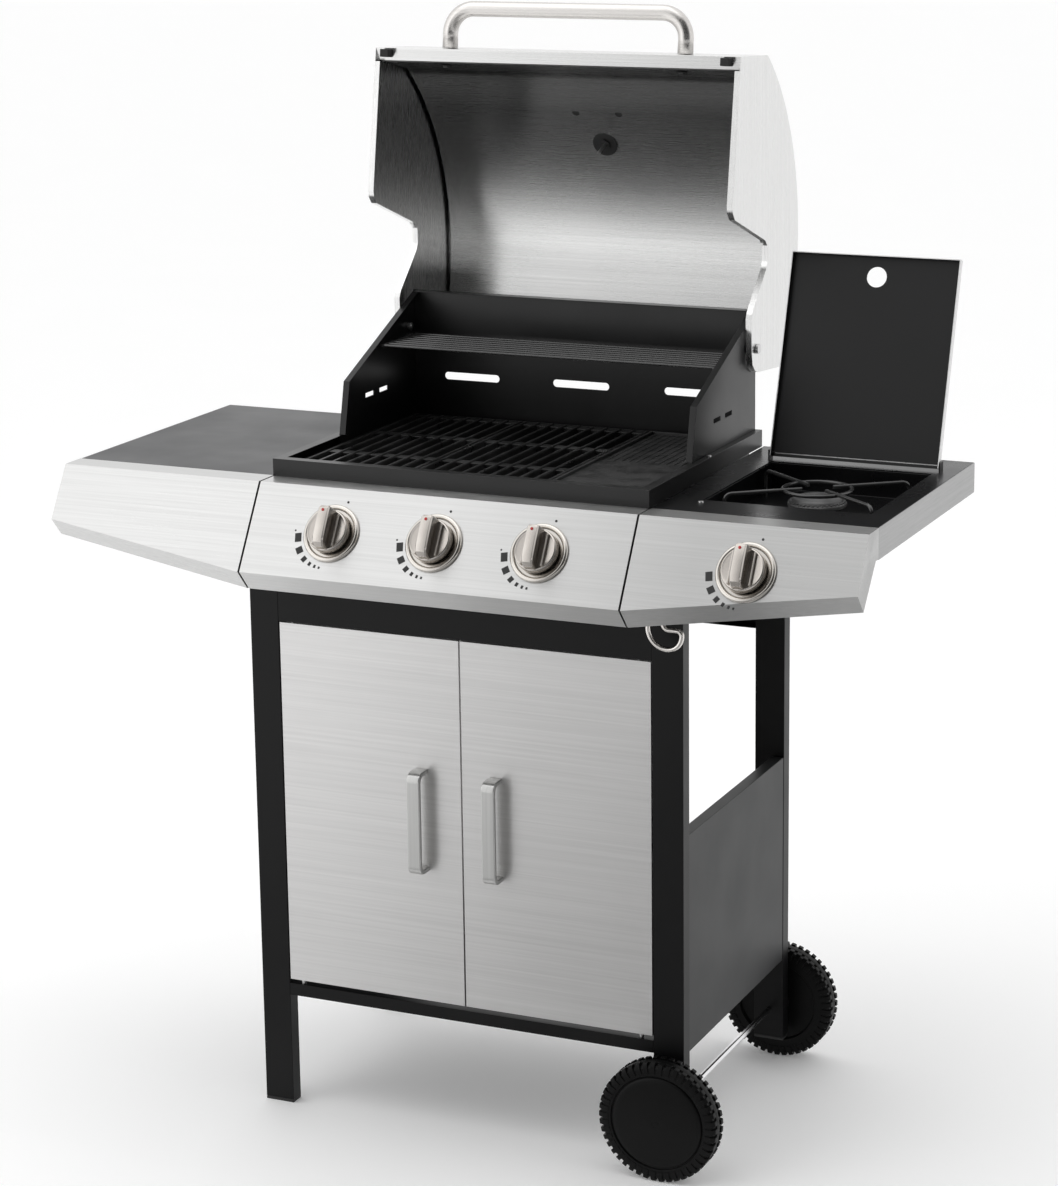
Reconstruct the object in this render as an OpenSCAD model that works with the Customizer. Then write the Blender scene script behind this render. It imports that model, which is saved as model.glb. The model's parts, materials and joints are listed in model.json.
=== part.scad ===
// Gas barbecue grill on a wheeled cabinet cart, with a hood and a side burner.
// X runs to the right, Y to the rear and Z up, in millimetres. The grill stands on Z = 0.
// Inside the modules Y = 0 is the middle of the cart, and at_cart() moves each piece from there
// to the part's own frame, whose origin is under the middle of the whole grill.

/* [Cart] */
// Width across the outsides of the legs
cart_w = 586; // [580:1:592]
// Depth across the outsides of the legs
cart_d = 375; // [373:1:377]
// Width of a leg tube, seen from the front
leg_w = 40; // [38:1:42]
// Depth of a leg tube
leg_d = 20; // [19:1:21]
// Wall of a leg tube
leg_wall = 1.5; // [1:0.1:2]
// Height of the leg tops
leg_top = 799; // [790:1:799]
// Height at which the two legs above the axle end
wheel_leg_bottom = 40; // [30:1:50]
// Height of the top face of the bottom shelf
floor_top = 166; // [160:1:170]
// Height of the top edge of the side panels
side_panel_top = 430; // [380:1:560]

/* [Doors] */
// Height of the lower edge of the doors
door_bottom = 172; // [171:1:180]
// Height of the upper edge of the doors
door_top = 647.5; // [640:0.5:648]
// Depth of a door, from its face to its rear flange
door_depth = 15; // [13:1:16]
// Length of a door handle
door_handle_len = 133; // [110:1:160]
// Clear depth behind a door handle
door_handle_reach = 20; // [18:1:26]

/* [Wheels] */
// Radius of the wheels
wheel_r = 77; // [70:1:77]
// Thickness of the wheels
wheel_t = 36; // [30:1:40]
// Radius of the axle rod
axle_r = 4; // [3.5:0.1:5]

/* [Cook box] */
// Width of the black rim
rim_w = 504; // [502:1:504]
// Height of the top face of the rim
rim_top = 858; // [856:1:860]
// Height of the top edge of the rear wall
rear_wall_top = 1014; // [1008:1:1020]
// Distance between neighbouring grate bars
grate_pitch = 18; // [14:0.5:22]
// Height of the warming rack
rack_z = 957; // [952:1:957]

/* [Front panels] */
// Height of the shelf tops and of the flat upper band of the front panels
shelf_top = 836; // [836:1:836]
// Width of the whole grill, across its shelves
total_w = 1068; // [1040:1:1090]
// Distance between neighbouring knobs
knob_pitch = 138; // [130:1:145]
// Radius of a knob
knob_r = 27; // [24:0.5:28]
// Travel of a knob when it is pressed
knob_push = 3; // [2:0.5:3]

/* [Side burner] */
// X position of the side burner and its knob
side_x = 397; // [394:1:400]
// Angle that the side lid leans back by when it is open
side_lid_lean = 18; // [10:1:25]
// Length of the side lid, from its hinge pins to its free edge
side_lid_len = 257; // [250:1:260]
// Radius of the finger hole in the side lid
finger_hole_r = 13; // [10:0.5:15]

/* [Hood] */
// Angle that the hood turns by between closed and open
hood_travel = 96.4; // [90:0.2:100]
// Radius of the curved part of the outer skin
hood_r = 294; // [292:1:296]
// Radius of the hood handle's tube
handle_r = 10; // [8:0.5:11]
// Distance between the two legs of the hood handle
handle_w = 326; // [280:1:360]

/* [Hidden] */
$fn = 64;

// Place of the cart's middle in the part's frame
cart_y = -16;

// Sheet steel thicknesses and small gaps
sheet = 1.2;
joint_gap = 1.5;
running_gap = 0.06;

// Derived places on the cart
leg_x = cart_w / 2;
leg_y = cart_d / 2;
bay_x = leg_x - leg_w;
bay_y = leg_y - leg_d;
floor_h = 16;
plug_t = 4;
apron_bottom = 649;
apron_top = 709;
rear_rail_bottom = 600;
rear_rail_top = 640;
rail_skin = 1.5;

// Doors turn on upright pins near their outer edges
door_pin_r = 3;
door_pin_x = 235;
door_pin_y = -leg_y + 5.5;
door_gap = 1;

// Axle and wheels
axle_x = leg_x - leg_w / 2;
axle_z = wheel_r;
wheel_gap = 8.5;
axle_half = leg_y + wheel_gap + wheel_t - 5;

// Cook box: a tub with a rim, three walls and what lies in them
rim_bottom = shelf_top;
rim_front = -190.6;
rim_rear = 192;
tub_x = 239.5;
tub_y = 178;
tub_wall = 1.5;
tub_shoulder = 738;
tub_floor = 712;
drain_r = 20;
wall_out = 243;
wall_in = 241.5;
wall_flange = 234.5;
grate_top = 850;
grate_h = 10;
grate_ledge = grate_top - grate_h;
plate_ledge = 795;
burner_z = 765;
burner_r = 14;

// Front panel outline in (Y, Z), from the rim down the sloping face to the lower lip
crease = [-224, shelf_top];
bend = [-285, 735];
chin = [-262, apron_top];
panel_x = 251;
fascia_x0 = 253.5;
fascia_x1 = total_w / 2;
panel_back = -187;
end_scale = 0.63;
end_chin_scale = 0.91;
end_crease = crease + [2, 0];
end_bend = end_crease + end_scale * (bend - crease);
end_chin = end_bend + end_chin_scale * (chin - bend);
band_bottom = 799;
shelf_rear = 195;

// Knobs stand square to the sloping face
face_tilt = atan2(crease[1] - bend[1], crease[0] - bend[0]);
knob_z = 786;
knob_y = crease[0] + (bend[0] - crease[0]) * (crease[1] - knob_z) / (crease[1] - bend[1]);
stem_r = 4;
manifold_y = -214;
manifold_z = 738;
manifold_r = 9;
tube_r = 3;

// Side burner
tray_x0 = 294;
tray_x1 = 504;
tray_y0 = -124;
tray_y1 = 112;
tray_floor = 800;
burner_y = -8;
lid_x0 = 288.5;
lid_x1 = 509.5;
lid_pin_y = 127;
lid_pin_z = 843.5;
lid_pin_r = 2;
lid_flange = 9;
support_r = 42;
support_z = 833;
wire_r = 2.5;

// Hood, described as it stands when it is closed
hinge_y = 170;
hinge_z = 967;
hinge_r = 3;
hood_out = 252;
hood_in = hood_out - sheet;
hood_flange = 244.3;
skin_centre = [53.4, 813];
skin_rear = [195, 1121];
skin_corner = [-199, skin_centre[1] + sqrt(pow(hood_r, 2) - pow(skin_centre[0] + 199, 2))];
lip_front = [-194, 869];
lip_end = [-178, 874.6];
liner_centre = [100, 787.3];
liner_r = 317.2;
liner_half = 247;
dial_angle = 119.8;
dial_depth = 23.5;
handle_y = -247;
handle_z = 907;
handle_bend = 32;

// ---- Helpers ----

function unit(v) = v / norm(v);
function left_of(v) = [-v[1], v[0]];
function path_dir(p, i) = unit(p[i + 1] - p[i]);

// Point i of a path, moved t to the left with its corner mitred
function side_point(p, i, t) =
    let (n = left_of(path_dir(p, max(i - 1, 0))), m = left_of(path_dir(p, min(i, len(p) - 2))))
    p[i] + t * (n + m) / (1 + n * m);

// Outline of a sheet of thickness t that lies along the left of a path
function strip(p, t) = concat(p, [for (i = [len(p) - 1 : -1 : 0]) side_point(p, i, t)]);

// Points of an arc from angle a0 to angle a1
function arc(centre, r, a0, a1, steps) =
    [for (i = [0 : steps]) let (a = a0 + (a1 - a0) * i / steps) centre + r * [cos(a), sin(a)]];

// Box from its lowest corner to its highest
module block(lo, hi) {
    translate(lo) cube(hi - lo);
}

// Moves a piece from the cart's middle to the part's frame
module at_cart() {
    translate([0, cart_y, 0]) children();
}

// Extrudes a (Y, Z) outline along X
module along_x(x0, x1) {
    translate([x0, 0, 0]) rotate([90, 0, 90]) linear_extrude(x1 - x0) children();
}

// Cylinders along each axis, from the end that is nearer the origin's side
module rod_x(x0, x1, y, z, r) {
    translate([x0, y, z]) rotate([0, 90, 0]) cylinder(r = r, h = x1 - x0);
}

module rod_y(y0, y1, x, z, r) {
    translate([x, y0, z]) rotate([-90, 0, 0]) cylinder(r = r, h = y1 - y0);
}

module rod_z(z0, z1, x, y, r) {
    translate([x, y, z0]) cylinder(r = r, h = z1 - z0);
}

// A piece and its mirror image across the middle of the grill
module both_sides() {
    children();
    mirror([1, 0, 0]) children();
}

// Rectangle with round corners, from its lowest corner to its highest
module round_rect(lo, hi, r) {
    translate([lo[0] + r, lo[1]]) square([hi[0] - lo[0] - 2 * r, hi[1] - lo[1]]);
    translate([lo[0], lo[1] + r]) square([hi[0] - lo[0], hi[1] - lo[1] - 2 * r]);
    for (x = [lo[0] + r, hi[0] - r])
        for (y = [lo[1] + r, hi[1] - r])
            translate([x, y]) circle(r);
}

// How far the face of the front panels has tapered back at an X position
function taper(x) = (end_crease[0] - crease[0]) * max(0, x - fascia_x0) / (fascia_x1 - fascia_x0);

// Places a child on the sloping face, with +Z out of the face and +Y up along it
module on_face(x) {
    translate([x, knob_y + taper(x), knob_z]) rotate([face_tilt, 0, 0]) children();
}

// Turns the closed hood to its open rest position
module hood_open() {
    translate([0, hinge_y, hinge_z]) rotate([-hood_travel, 0, 0])
        translate([0, -hinge_y, -hinge_z]) children();
}

// Turns the closed side lid to its open rest position
module lid_open() {
    translate([0, lid_pin_y, lid_pin_z]) rotate([-(90 + side_lid_lean), 0, 0])
        translate([0, -lid_pin_y, -lid_pin_z]) children();
}

// ---- Cart ----

module leg(x0, y0, z0) {
    color("#1b1b1d") at_cart() difference() {
        block([x0, y0, z0], [x0 + leg_w, y0 + leg_d, leg_top]);
        block([x0 + leg_wall, y0 + leg_wall, z0 - 1],
            [x0 + leg_w - leg_wall, y0 + leg_d - leg_wall, leg_top + 1]);
        rod_y(y0 - 1, y0 + leg_d + 1, axle_x, axle_z, axle_r + running_gap);
    }
}

module leg_front_left() {
    leg(-leg_x, -leg_y, plug_t);
}

module leg_front_right() {
    leg(bay_x, -leg_y, wheel_leg_bottom);
}

module leg_rear_left() {
    leg(-leg_x, bay_y, plug_t);
}

module leg_rear_right() {
    leg(bay_x, bay_y, wheel_leg_bottom);
}

module leg_plug(x0, y0, z0) {
    block([x0, y0, z0 - plug_t], [x0 + leg_w, y0 + leg_d, z0]);
    block([x0 + leg_wall, y0 + leg_wall, z0],
        [x0 + leg_w - leg_wall, y0 + leg_d - leg_wall, z0 + 12]);
}

module leg_plugs() {
    color("#101010") at_cart()
        for (y = [-leg_y, bay_y]) {
            leg_plug(-leg_x, y, plug_t);
            leg_plug(bay_x, y, wheel_leg_bottom);
        }
}

module side_panel() {
    panel_out = leg_x - 0.5;
    panel_in = panel_out - sheet;
    lip_in = panel_out - 16;
    reach = bay_y - 0.2;
    block([panel_in, -reach, floor_top - floor_h], [panel_out, reach, side_panel_top]);
    block([lip_in, -reach, side_panel_top - sheet], [panel_out, reach, side_panel_top]);
    for (y = [-reach, reach - sheet])
        block([lip_in, y, floor_top + 0.5], [panel_out, y + sheet, side_panel_top]);
}

module side_panel_left() {
    color("#4a4b4d") at_cart() mirror([1, 0, 0]) side_panel();
}

module side_panel_right() {
    color("#4a4b4d") at_cart() side_panel();
}

// Plan of the bottom shelf: it fits between the legs and reaches out to the side panels
module shelf_plan(inset) {
    x0 = bay_x - 0.2 - inset;
    x1 = leg_x - 2 - inset;
    y0 = leg_y - inset;
    y1 = bay_y - 0.2 - inset;
    translate([-x0, -y0]) square([2 * x0, 2 * y0]);
    translate([-x1, -y1]) square([2 * x1, 2 * y1]);
}

module bottom_shelf() {
    color("#1b1b1d") at_cart() difference() {
        translate([0, 0, floor_top - floor_h]) linear_extrude(floor_h) shelf_plan(0);
        translate([0, 0, floor_top - floor_h - 1]) linear_extrude(floor_h + 1 - sheet) shelf_plan(sheet);
        for (x = [-door_pin_x, door_pin_x])
            rod_z(floor_top - 3, floor_top + 1, x, door_pin_y, door_pin_r);
    }
}

// Channel across the front, open to the rear, that closes the bay above the doors
module front_apron() {
    x = bay_x - 0.2;
    color("#202022") at_cart() difference() {
        block([-x, -leg_y, apron_bottom], [x, -bay_y, apron_top]);
        block([-x - 1, -leg_y + rail_skin, apron_bottom + rail_skin],
            [x + 1, -bay_y + 1, apron_top - rail_skin]);
        for (side = [-door_pin_x, door_pin_x])
            rod_z(apron_bottom - 1, apron_bottom + 3, side, door_pin_y, door_pin_r);
    }
}

module rear_rail() {
    x = bay_x - 0.2;
    color("#1b1b1d") at_cart() difference() {
        block([-x, bay_y, rear_rail_bottom], [x, leg_y, rear_rail_top]);
        block([-x - 1, bay_y - 1, rear_rail_bottom + rail_skin],
            [x + 1, leg_y - rail_skin, rear_rail_top - rail_skin]);
    }
}

// Tubes that stand on the leg tops and carry the two shelves
module shelf_rails() {
    x0 = bay_x + 2;
    x1 = fascia_x1 - 20;
    top = shelf_top - sheet;
    color("#303032") at_cart() both_sides()
        for (y = [-leg_y + 2.5, bay_y + 2.5])
            difference() {
                block([x0, y, leg_top], [x1, y + 15, top]);
                block([x0 - 1, y + sheet, leg_top + sheet], [x1 + 1, y + 15 - sheet, top - sheet]);
            }
}

// ---- Doors ----

module door_pan(x0, x1, pin_x) {
    rim_t = 2;
    difference() {
        block([x0, -leg_y, door_bottom], [x1, -leg_y + door_depth, door_top]);
        block([x0 + sheet, -leg_y + sheet, door_bottom + rim_t],
            [x1 - sheet, -leg_y + door_depth + 1, door_top - rim_t]);
        rod_z(door_bottom - 1, door_top + 1, pin_x, door_pin_y, door_pin_r + running_gap);
    }
}

module door_left() {
    color("#c9c9c9") at_cart() door_pan(-bay_x + joint_gap, -door_gap - 2, -door_pin_x);
}

module door_right() {
    color("#c9c9c9") at_cart() door_pan(-door_gap, bay_x - joint_gap, door_pin_x);
}

// Flat bar bent to a bow that stands off the door
module bow_handle(x0, x1) {
    bar_t = 6;
    z0 = 412 - door_handle_len / 2;
    z1 = z0 + door_handle_len;
    y0 = -leg_y - door_handle_reach - bar_t;
    along_x(x0, x1) difference() {
        round_rect([y0, z0], [-leg_y + 40, z1], 12);
        round_rect([y0 + bar_t, z0 + bar_t], [-leg_y + 60, z1 - bar_t], 7);
        translate([-leg_y, z0 - 1]) square([80, z1 - z0 + 2]);
    }
}

module door_handle_left() {
    color("#b5b5b5") at_cart() bow_handle(-66, -48);
}

module door_handle_right() {
    color("#b5b5b5") at_cart() bow_handle(36, 54);
}

module door_pins() {
    color("#8d8d8d") at_cart()
        for (x = [-door_pin_x, door_pin_x]) {
            rod_z(floor_top - 2, door_bottom + 6, x, door_pin_y, door_pin_r);
            rod_z(door_top - 6, apron_bottom + 2.5, x, door_pin_y, door_pin_r);
        }
}

// ---- Axle and wheels ----

module axle() {
    color("#dcdcdc") at_cart() rod_y(-axle_half, axle_half, axle_x, axle_z, axle_r);
}

// Wheel on its own axis, with its capped outer face at Z = wheel_t
module wheel() {
    t = wheel_t;
    r = wheel_r;
    difference() {
        rotate_extrude() polygon([[0, 0], [16, 0], [16, 5], [52, 5], [52, 1], [r - 3, 1], [r, 4],
            [r, t - 8], [r - 4, t - 4], [60, t - 3], [58, t - 5], [54, t - 2], [0, t]]);
        translate([0, 0, -1]) cylinder(r = axle_r + running_gap, h = t - 3);
    }
}

module wheel_front() {
    color("#151515") at_cart() translate([axle_x, -leg_y - wheel_gap, axle_z])
        rotate([90, 0, 0]) wheel();
}

module wheel_rear() {
    color("#151515") at_cart() translate([axle_x, leg_y + wheel_gap, axle_z])
        rotate([-90, 0, 0]) wheel();
}

// ---- Front panels and shelves ----

// Closing plate of the space behind the front panels, with a notch for the gas tube
module end_plate(x0, x1) {
    along_x(x0, x1) polygon([[-190, shelf_top], crease, bend, chin, [-222, apron_top],
        [-222, burner_z], [-190, burner_z]]);
}

module control_panel() {
    lip = chin + [16, 0];
    path = [[-186, shelf_top], crease, bend, chin, lip];
    color("#cfcfcf") at_cart() difference() {
        union() {
            along_x(-panel_x, panel_x) polygon(strip(path, sheet));
            both_sides() end_plate(panel_x - sheet, panel_x);
        }
        for (x = [-knob_pitch, 0, knob_pitch])
            on_face(x) translate([0, 0, -5]) cylinder(r = 6, h = 10);
    }
}

function at_x(x, p) = [x, p[0], p[1]];

// Space in front of the flat face that runs through two near points and one far point
module front_of(near0, near1, far0, inset) {
    o = at_x(fascia_x0, near0);
    u = unit(at_x(fascia_x0, near1) - o);
    n = unit(cross(u, at_x(fascia_x1, far0) - o));
    w = cross(n, u);
    multmatrix([[u[0], w[0], n[0], o[0]], [u[1], w[1], n[1], o[1]], [u[2], w[2], n[2], o[2]]])
        translate([-200, -50, -inset]) cube([500, 400, 100]);
}

// Block between the ends of a tapered front panel, cut off at its two flat faces
module fascia_body(inset, back, low) {
    difference() {
        block([fascia_x0 + inset, -300, low], [fascia_x1 - inset, back, shelf_top - inset]);
        front_of(crease, bend, end_crease, inset);
        front_of(bend, chin, end_bend, inset);
    }
}

// Tapered front panel under the right shelf, open below and behind
module fascia() {
    rise = end_chin[1] - chin[1];
    x0 = fascia_x0 - 1;
    x1 = fascia_x1 + 1;
    difference() {
        fascia_body(0, panel_back, 690);
        fascia_body(sheet, panel_back + 1, 680);
        along_y(-301, panel_back + 2) polygon([[x0, 600], [x1, 600], [x1, chin[1] + rise],
            [fascia_x1, chin[1] + rise], [fascia_x0, chin[1]], [x0, chin[1]]]);
        block([x0, -222, 600], [x1, panel_back + 2, burner_z]);
        block([x0, -190, 600], [x1, panel_back + 2, band_bottom]);
        along_x(fascia_x1 - 2 * sheet, x1)
            polygon([end_chin, [end_chin[0], 600], [panel_back + 2, 600], [panel_back + 2, band_bottom],
                [-197, band_bottom]]);
    }
}

module fascia_left() {
    color("#cfcfcf") at_cart() mirror([1, 0, 0]) fascia();
}

module fascia_right() {
    color("#cfcfcf") at_cart() difference() {
        fascia();
        on_face(side_x) translate([0, 0, -5]) cylinder(r = 6, h = 12);
    }
}

// Folded shelf sheet on the right side, open at its outer end
module shelf_sheet() {
    x0 = fascia_x0;
    x1 = fascia_x1 - sheet - 0.2;
    y0 = panel_back + 0.2;
    difference() {
        block([x0, y0, band_bottom + 1], [x1, shelf_rear, shelf_top]);
        block([x0 + sheet, y0 + sheet, band_bottom], [x1 + 1, shelf_rear - sheet, shelf_top - sheet]);
    }
}

module shelf_left() {
    color("#58595b") at_cart() mirror([1, 0, 0]) shelf_sheet();
}

// Ear with a stud on which the side lid turns
module lid_ear(x0, x1, stud0, stud1) {
    block([x0, lid_pin_y - 7, shelf_top - 0.5], [x1, lid_pin_y + 7, lid_pin_z + 5]);
    rod_x(stud0, stud1, lid_pin_y, lid_pin_z, lid_pin_r);
}

module shelf_right() {
    color("#1e1e20") at_cart() {
        difference() {
            shelf_sheet();
            block([tray_x0, tray_y0, shelf_top - 3], [tray_x1, tray_y1, shelf_top + 1]);
        }
        lid_ear(lid_x0 - 2, lid_x0 - 0.5, lid_x0 - 1.5, lid_x0 + 3);
        lid_ear(lid_x1 + 0.5, lid_x1 + 2, lid_x1 - 3, lid_x1 + 1.5);
    }
}

// Bright bands that close the outer sides of the shelves
module shelf_bands() {
    color("#bdbdbd") at_cart() both_sides() {
        block([fascia_x1 - sheet, panel_back + 0.1, band_bottom], [fascia_x1, shelf_rear, shelf_top]);
        block([fascia_x1 - 12, panel_back + 2, band_bottom - sheet],
            [fascia_x1, shelf_rear, band_bottom]);
    }
}

// ---- Cook box ----

// Cross-section of the tub in (X, Z), drawn inwards by an inset
module tub_section(inset, top) {
    x = tub_x - inset;
    polygon([[-x, top], [-x, tub_shoulder + inset], [-30, tub_floor + inset],
        [30, tub_floor + inset], [x, tub_shoulder + inset], [x, top]]);
}

module along_y(y0, y1) {
    translate([0, y1, 0]) rotate([90, 0, 0]) linear_extrude(y1 - y0) children();
}

// Angle under the tub on which the grease tray slides
module tray_runner() {
    block([99, -150, 687], [100.2, 150, tub_floor + 9]);
    block([94, -150, 686.8], [100.2, 150, 688]);
}

module cook_box() {
    half = rim_w / 2;
    skin = sheet;
    color("#161618") at_cart() difference() {
        union() {
            difference() {
                along_y(-tub_y, tub_y) tub_section(0, 848);
                along_y(-tub_y + tub_wall, tub_y - tub_wall) tub_section(tub_wall, 860);
            }
            difference() {
                block([-half, rim_front, rim_bottom], [half, rim_rear, rim_top]);
                block([-half + skin, rim_front + skin, rim_bottom + skin],
                    [half - skin, rim_rear - skin, rim_top - skin]);
                block([-tub_x + 1, -tub_y + 1, rim_bottom - 1], [tub_x - 1, tub_y - 1, rim_top + 1]);
                block([-wall_out - 0.1, -32, rim_bottom + skin],
                    [wall_out + 0.1, rim_rear - skin, rim_top + 1]);
            }
            for (z = [grate_ledge, plate_ledge])
                for (y = [-tub_y + 1, tub_y - 13])
                    block([-tub_x + 1, y, z - 1.5], [tub_x - 1, y + 12, z]);
            both_sides() tray_runner();
        }
        rod_z(tub_floor - 1, tub_floor + 5, 0, 0, drain_r);
        for (x = [-knob_pitch, 0, knob_pitch])
            rod_y(-tub_y - 1, -tub_y + 5, x, burner_z, burner_r + 0.3);
    }
}

// Right wall of the cook box, with the folded flange along its free edge
module side_wall() {
    foot = rim_bottom + sheet + 0.2;
    edge = [[-30.5, rim_top + 0.3], [-15, 925], [188.8, 1012]];
    difference() {
        union() {
            along_x(wall_in, wall_out) polygon(concat([[188.8, foot], [-31, foot]], edge));
            along_x(wall_flange, wall_out) polygon(strip(edge, -sheet));
        }
        for (y = [42, 82])
            block([wall_in - 1, y, 893], [wall_out + 1, y + 24, 899]);
        rod_x(wall_in - 1, wall_out + 1, hinge_y, hinge_z, hinge_r + 0.2);
    }
}

module wall_left() {
    color("#161618") at_cart() mirror([1, 0, 0]) side_wall();
}

module wall_right() {
    color("#161618") at_cart() side_wall();
}

module wall_rear() {
    foot = rim_bottom + sheet + 0.2;
    color("#161618") at_cart() difference() {
        union() {
            block([-wall_out, 189, foot], [wall_out, 190.5, rear_wall_top]);
            block([-wall_flange, 175, rear_wall_top - sheet], [wall_flange, 190.5, rear_wall_top]);
        }
        for (x = [-158, 0, 158])
            translate([0, 195, 0]) rotate([90, 0, 0]) linear_extrude(10)
                round_rect([x - 40, 895], [x + 40, 905], 4.9);
    }
}

// Wire rack that hooks into the side walls
module warming_rack() {
    color("#3c3c3e") at_cart() {
        for (i = [0 : 7])
            rod_x(-232, 232, 76 + i * 13.5, rack_z, 1.8);
        for (x = [-231, 231])
            rod_y(74, 172.5, x, rack_z, 2.2);
        for (y = [80, 168])
            both_sides() rod_x(230, wall_in - 0.1, y, rack_z - 1, 1.8);
    }
}

// Cast grate between two X positions
module grate(x0, x1) {
    bar = 6;
    half = 170;
    count = floor((x1 - x0 - bar) / grate_pitch);
    step = (x1 - x0 - bar) / count;
    translate([0, 0, grate_ledge]) linear_extrude(grate_h) {
        for (i = [0 : count])
            translate([x0 + i * step, -half]) square([bar, 2 * half]);
        for (y = [-half, -83, 41, half - bar])
            translate([x0, y]) square([x1 - x0, bar]);
    }
}

module grate_left() {
    color("#1a1a1b") at_cart() grate(-233.5, -76);
}

module grate_middle() {
    color("#1a1a1b") at_cart() grate(-74.5, 105);
}

// Plate with a plain front half and a ribbed rear half
module griddle() {
    x0 = 106.5;
    x1 = 233.5;
    color("#232324") at_cart() difference() {
        block([x0, -170, grate_ledge], [x1, 170, grate_top]);
        block([x0 + 5, -165, grate_top - 4], [x1 - 5, -20, grate_top + 1]);
        for (i = [0 : 7])
            block([x0 + 8 + i * 14.5, -12, grate_top - 3], [x0 + 14 + i * 14.5, 160, grate_top + 1]);
    }
}

// Folded plates that shield the burners
module heat_plates() {
    ridge = [[-50, plate_ledge + 0.2], [0, plate_ledge + 22], [50, plate_ledge + 0.2]];
    color("#8c8c8e") at_cart()
        for (x = [-knob_pitch, 0, knob_pitch])
            translate([x, 0, 0]) along_y(-172, 172) polygon(strip(ridge, sheet));
}

module burners() {
    color("#a8a8aa") at_cart()
        for (x = [-knob_pitch, 0, knob_pitch]) {
            difference() {
                rod_y(-197, 150, x, burner_z, burner_r);
                rod_y(-198, 140, x, burner_z, burner_r - sheet);
            }
            block([x - 8, 149, burner_z - 1], [x + 8, tub_y - tub_wall, burner_z + 1]);
        }
}

// ---- Gas train ----

module manifold() {
    inlet_x = -200;
    color("#b9b9bb") at_cart() {
        rod_x(-215, 235, manifold_y, manifold_z, manifold_r);
        rod_z(724, manifold_z, inlet_x, manifold_y, 6.5);
        rod_z(700, 724, inlet_x, manifold_y, 4.5);
    }
}

// Valve behind a knob, with its stem bore, its saddle and its jet
module valve(x, foot) {
    on_face(x) translate([0, 0, -40]) cylinder(r = 9, h = 26);
    rod_z(foot, burner_z, x, -218, 7);
    rod_y(-220, -192, x, burner_z, 4);
}

module valves() {
    color("#c9a64f") at_cart() difference() {
        union() {
            for (x = [-knob_pitch, 0, knob_pitch])
                valve(x, manifold_z + 4);
            valve(side_x, 726);
        }
        for (x = [-knob_pitch, 0, knob_pitch, side_x])
            on_face(x) translate([0, 0, -24]) cylinder(r = stem_r + running_gap, h = 20);
        rod_x(-215, 235, manifold_y, manifold_z, manifold_r);
    }
}

// Ring that frames a knob
module bezels() {
    color("#bfb9b0") at_cart()
        for (x = [-knob_pitch, 0, knob_pitch, side_x])
            on_face(x) translate([0, 0, 0.3]) rotate_extrude()
                polygon([[9, 0], [37, 0], [37, 2], [35, 4.5], [32, 4.5], [30.5, 1.5], [9, 1.5]]);
}

module stem(x) {
    color("#b0b0b0") at_cart() on_face(x) translate([0, 0, -23.5]) cylinder(r = stem_r, h = 41);
}

module stem_left() {
    stem(-knob_pitch);
}

module stem_middle() {
    stem(0);
}

module stem_right() {
    stem(knob_pitch);
}

module stem_side() {
    stem(side_x);
}

// Knob with a raised grip that points to twelve o'clock when the gas is off
module knob(x) {
    base = knob_push + 3;
    disc = 10;
    grip_w = 17;
    grip_h = 20;
    color("#b8b0a6") at_cart() on_face(x) difference() {
        union() {
            translate([0, 0, base]) cylinder(r = knob_r, h = disc);
            intersection() {
                translate([-grip_w / 2, -knob_r, base + disc - 1]) cube([grip_w, 2 * knob_r, grip_h + 1]);
                translate([0, 0, base]) cylinder(r = knob_r - 1.5, h = disc + grip_h);
            }
        }
        translate([0, 0, base - 1]) cylinder(r = stem_r + 0.05, h = 17);
    }
}

module knob_left() {
    knob(-knob_pitch);
}

module knob_middle() {
    knob(0);
}

module knob_right() {
    knob(knob_pitch);
}

module knob_side() {
    knob(side_x);
}

// Quarter bend of the gas tube in the (X, Z) plane, turned to its quadrant by an angle
module tube_bend(x, z, bend_r, a0) {
    translate([x, manifold_y, z]) rotate([90, 0, 0]) rotate([0, 0, a0])
        rotate_extrude(angle = 90) translate([bend_r, 0]) circle(tube_r);
}

// Metal tube that feeds the side burner, with a loop and a curl below the front panels
module side_gas_tube() {
    small = 12;
    drop_x = 259;
    loop_r = 25;
    loop_z = 698;
    rise_r = 18;
    rise_x = drop_x + loop_r + rise_r;
    curl_r = 6;
    curl_z = loop_z - loop_r + rise_r + curl_r;
    turn_r = 8;
    turn_x = 286;
    run_z = 732;
    color("#d8d8d8") at_cart() {
        rod_x(235, drop_x - small, manifold_y, manifold_z, tube_r);
        tube_bend(drop_x - small, manifold_z - small, small, 0);
        rod_z(loop_z, manifold_z - small, drop_x, manifold_y, tube_r);
        tube_bend(drop_x + loop_r, loop_z, loop_r, 180);
        tube_bend(drop_x + loop_r, loop_z - loop_r + rise_r, rise_r, 270);
        tube_bend(rise_x - curl_r, curl_z - curl_r, curl_r, 0);
        rod_x(turn_x, rise_x - curl_r, manifold_y, curl_z, tube_r);
        tube_bend(turn_x, curl_z + turn_r, turn_r, 180);
        rod_z(curl_z + turn_r, run_z - small, turn_x - turn_r, manifold_y, tube_r);
        tube_bend(turn_x - turn_r + small, run_z - small, small, 90);
        rod_x(turn_x - turn_r + small, side_x - 5.5, manifold_y, run_z, tube_r);
    }
}

// ---- Side burner ----

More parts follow.
